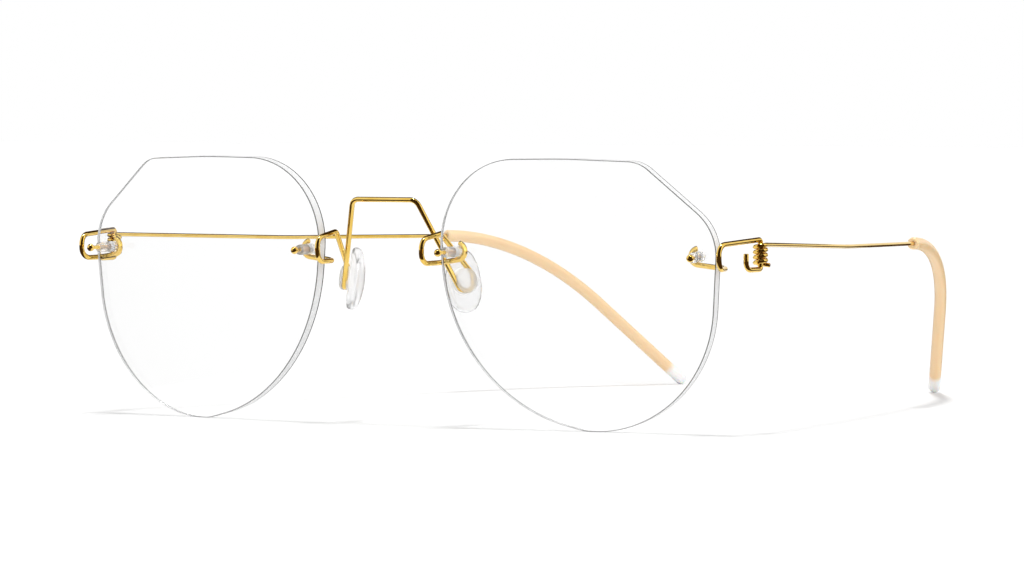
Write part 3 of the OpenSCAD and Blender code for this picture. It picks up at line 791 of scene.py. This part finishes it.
def sleeve_mesh(name, side):
    """A tube closed at its tip: up the bore, over the mouth's bevel, and down the outside."""
    run = sleeve_path()
    lead = unit(run[1] - run[0])
    bevel = [SLEEVE_LIP * math.cos(a) for a in np.radians((90, 70, 45, 20, 0))]
    outer_path = [run[0] + lead * s for s in bevel] + run[1:]
    outer_radii = [SLEEVE_R - SLEEVE_LIP + s for s in bevel] + [SLEEVE_R] * (len(run) - 1)
    turns = np.radians(np.linspace(0, POLE_DEG, TIP_STEPS))
    outer_path += [tip_ball + tip_dir * SLEEVE_R * math.sin(a) for a in turns]
    outer_radii += [SLEEVE_R * math.cos(a) for a in turns]
    outer, along = rings_on(outer_path, outer_radii, SLEEVE_SIDES)
    bore_r = TEMPLE_R + SLEEVE_CLEAR
    bore, bore_along = rings_on(run, [bore_r] * len(run), SLEEVE_SIDES)
    rings = list(bore[::-1]) + list(outer)
    return mesh_of_rings(name, to_row(rings, side), list(bore_along[::-1]) + list(along))


gold = gold_material()
gold_shank = shank_material()
lens_clear = lens_material()
lens_edge = lens_edge_material()
# Both bevels' greys are painted shade for the lens's outline; the near-black front one also paints
# the line on the edge
lens_bevels_painted_shade = [
    painted_shade_bevel_material("lens_bevel_front_painted_shade", painted_gray=0.08, clear=0.55),
    painted_shade_bevel_material("lens_bevel_back_painted_shade", painted_gray=0.35, clear=0.85),
]
silicones = [
    silicone_material("silicone_clear", clear=0.8),
    silicone_material("silicone_thick", clear=0.5),
]
bush_clear = bush_material()
sleeve_run = sleeve_path()
sleeve_silicone = sleeve_material(sum(map(math.dist, sleeve_run, sleeve_run[1:])))


def mount_pieces(place, hole, side):
    """The pin and the bush in one of a lens's holes."""
    name = f"pin_{place}_{side}"
    pin = revolved(name, pin_profile(), hole, side)
    # The shank comes after the ball's faces, and before the two that close the ends
    for poly in pin.polygons[BALL_STEPS * ROUND_SIDES:-2]:
        poly.material_index = 1
    add_piece(name, pin, "front", f"{place}_pin_{side}", [gold, gold_shank])
    name = f"bush_{place}_{side}"
    bush = revolved(name, bush_profile(), hole, side, loop=True)
    add_piece(name, bush, "front", f"{place}_bush_{side}", [bush_clear])


def side_pieces(side):
    """Everything that a side has of its own."""
    temple, sleeve, lens, pad = f"temple_{side}", f"sleeve_{side}", f"lens_{side}", f"pad_{side}"
    glass = lens + "_glass"
    wire_piece(f"endpiece_{side}_wire", end_path(), WIRE_R, side, "front", f"endpiece_{side}")
    wire_piece(temple + "_wire", temple_path(), TEMPLE_R, side, temple, temple)
    tube = sleeve_mesh(sleeve, side)
    add_piece(sleeve, tube, temple, "temple_" + sleeve, [sleeve_silicone])
    add_piece(glass, lens_mesh(glass, side), "front", lens)
    cushion = add_piece(pad, pad_mesh(pad, side), "front", "nose_" + pad)
    mount_pieces("nasal", nasal, side)
    mount_pieces("temporal", temporal, side)


half_bridge = bridge_half_path()
whole_bridge = half_bridge[:-1] + [p * [-1, 1, 1] for p in reversed(half_bridge)]
wire_piece("bridge", whole_bridge, WIRE_R, "left", "front", "bridge_wire")
side_pieces("left")
side_pieces("right")


# Stage: a pale floor, a white world, soft lamps and dark cards that only reflections see

FLOOR_SIZE = 8
FLOOR_COLOR = (0.8, 0.8, 0.8)
FLOOR_LIFT = 0.1
CARD_R, CARD_STEPS, CARD_LIFT = 1.0, 25, 0.001
WORLD_LIGHT = 0.5


def seen_rays(tree):
    """1 for the rays that show the background: the camera's, reflections and clear pieces."""
    rays = tree.nodes.new("ShaderNodeLightPath")
    total = rays.outputs["Is Camera Ray"]
    for name in ("Is Glossy Ray", "Is Transmission Ray"):
        most = tree.nodes.new("ShaderNodeMath")
        most.operation = "MAXIMUM"
        tree.links.new(total, most.inputs[0])
        tree.links.new(rays.outputs[name], most.inputs[1])
        total = most.outputs[0]
    return total


def scaled(tree, value, low, high):
    made = tree.nodes.new("ShaderNodeMapRange")
    made.inputs["To Min"].default_value = low
    made.inputs["To Max"].default_value = high
    tree.links.new(value, made.inputs["Value"])
    return made.outputs["Result"]


def make_world():
    world = bpy.data.worlds.new("studio")
    bpy.context.scene.world = world
    world.use_nodes = True
    tree = world.node_tree
    background = tree.nodes["Background"]
    background.inputs["Color"].default_value = (1, 1, 1, 1)
    tree.links.new(scaled(tree, seen_rays(tree), WORLD_LIGHT, 1), background.inputs["Strength"])


def stage_object(name, verts, faces, material):
    """A piece of the studio, which isn't part of the object."""
    mesh = bpy.data.meshes.new(name)
    mesh.from_pydata(verts, [], faces)
    mesh.materials.append(material)
    made = new_object(name, mesh)
    return made


def make_floor():
    floor = Surface("floor", FLOOR_COLOR, Roughness=0.9, Specular_IOR_Level=0.0)
    lift = scaled(floor.tree, seen_rays(floor.tree), 0, FLOOR_LIFT)
    floor.shader.inputs["Emission Color"].default_value = (1, 1, 1, 1)
    floor.link(lift, floor.shader.inputs["Emission Strength"])
    half = FLOOR_SIZE / 2
    corners = [(-half, -half, 0), (half, -half, 0), (half, half, 0), (-half, half, 0)]
    stage_object("floor", corners, [(0, 1, 2, 3)], floor.material)


def direction(azimuth, elevation):
    """From the object towards a place round it, with the same angles as the views."""
    a, e = math.radians(azimuth), math.radians(elevation)
    return np.array([math.sin(a) * math.cos(e), -math.cos(a) * math.cos(e), math.sin(e)])


def add_card(name, verts):
    """A dark sheet from rows of points, which only reflections see."""
    faces = []
    for row in range(len(verts) // CARD_STEPS - 1):
        for k in range(row * CARD_STEPS, (row + 1) * CARD_STEPS - 1):
            faces.append((k, k + 1, k + 1 + CARD_STEPS, k + CARD_STEPS))
    card = stage_object(name, verts, faces, dark)
    card.visible_camera = False
    card.visible_diffuse = False
    card.visible_transmission = False
    card.visible_shadow = False


def reflected_card(name, azimuth, low, high, half_turn):
    """A card that stands round the object at the card radius, between two elevations."""
    turns = np.linspace(azimuth - half_turn, azimuth + half_turn, CARD_STEPS)
    rises = np.linspace(low, high, CARD_STEPS)
    add_card(name, [tuple(direction(a, e) * CARD_R) for e in rises for a in turns])


def reflected_floor(name, inner, outer):
    """A ring that lies just over the floor, which it leaves open round the object."""
    lift, turns = vec(0, 0, CARD_LIFT), np.linspace(0, 360, CARD_STEPS)
    add_card(name, [tuple(direction(a, 0) * r + lift) for r in (inner, outer) for a in turns])


def lamp(name, azimuth, elevation, angle, strength):
    """A large soft source, far enough away to light the floor evenly."""
    light = bpy.data.lights.new(name, "SUN")
    light.angle = math.radians(angle)
    light.energy = strength
    made = new_object(name, light)
    out = Vector(direction(azimuth, elevation))
    made.location = out
    made.rotation_mode = "QUATERNION"
    made.rotation_quaternion = (-out).to_track_quat("-Z", "Y")


# The photograph's camera: turned to the wearer's left and a little above the table
CAMERA_AZIMUTH, CAMERA_ELEVATION = 33.95, 2.006
CAMERA_DISTANCE = 0.93495
FOCAL_PX = 5753
AIM_RIGHT_PX, AIM_UP_PX = 132.2, 4.5
IMAGE_W, SENSOR_MM = 1024, 36


def make_camera():
    data = bpy.data.cameras.new("camera")
    data.sensor_width = SENSOR_MM
    data.lens = FOCAL_PX / IMAGE_W * SENSOR_MM
    camera = new_object("camera", data)
    out = direction(CAMERA_AZIMUTH, CAMERA_ELEVATION)
    right = direction(CAMERA_AZIMUTH + 90, 0)
    up = np.cross(out, right)
    aim = -out + right * AIM_RIGHT_PX / FOCAL_PX + up * AIM_UP_PX / FOCAL_PX
    camera.location = SHIFT * MM + out * CAMERA_DISTANCE
    camera.rotation_mode = "QUATERNION"
    camera.rotation_quaternion = Vector(aim).to_track_quat("-Z", "Y")
    bpy.context.scene.camera = camera


make_world()
make_floor()
dark = Surface("card", (0.05, 0.028, 0.012), Roughness=1.0, Specular_IOR_Level=0.0).material
reflected_card("card_front", azimuth=34, low=0, high=68, half_turn=58)
reflected_card("card_back", azimuth=214, low=20, high=80, half_turn=65)
reflected_floor("card_floor", inner=0.09, outer=CARD_R)
lamp("key", azimuth=-30, elevation=88, angle=8, strength=1.6)
lamp("fill", azimuth=60, elevation=25, angle=90, strength=1.3)
make_camera()
bpy.context.scene.view_settings.view_transform = "Standard"
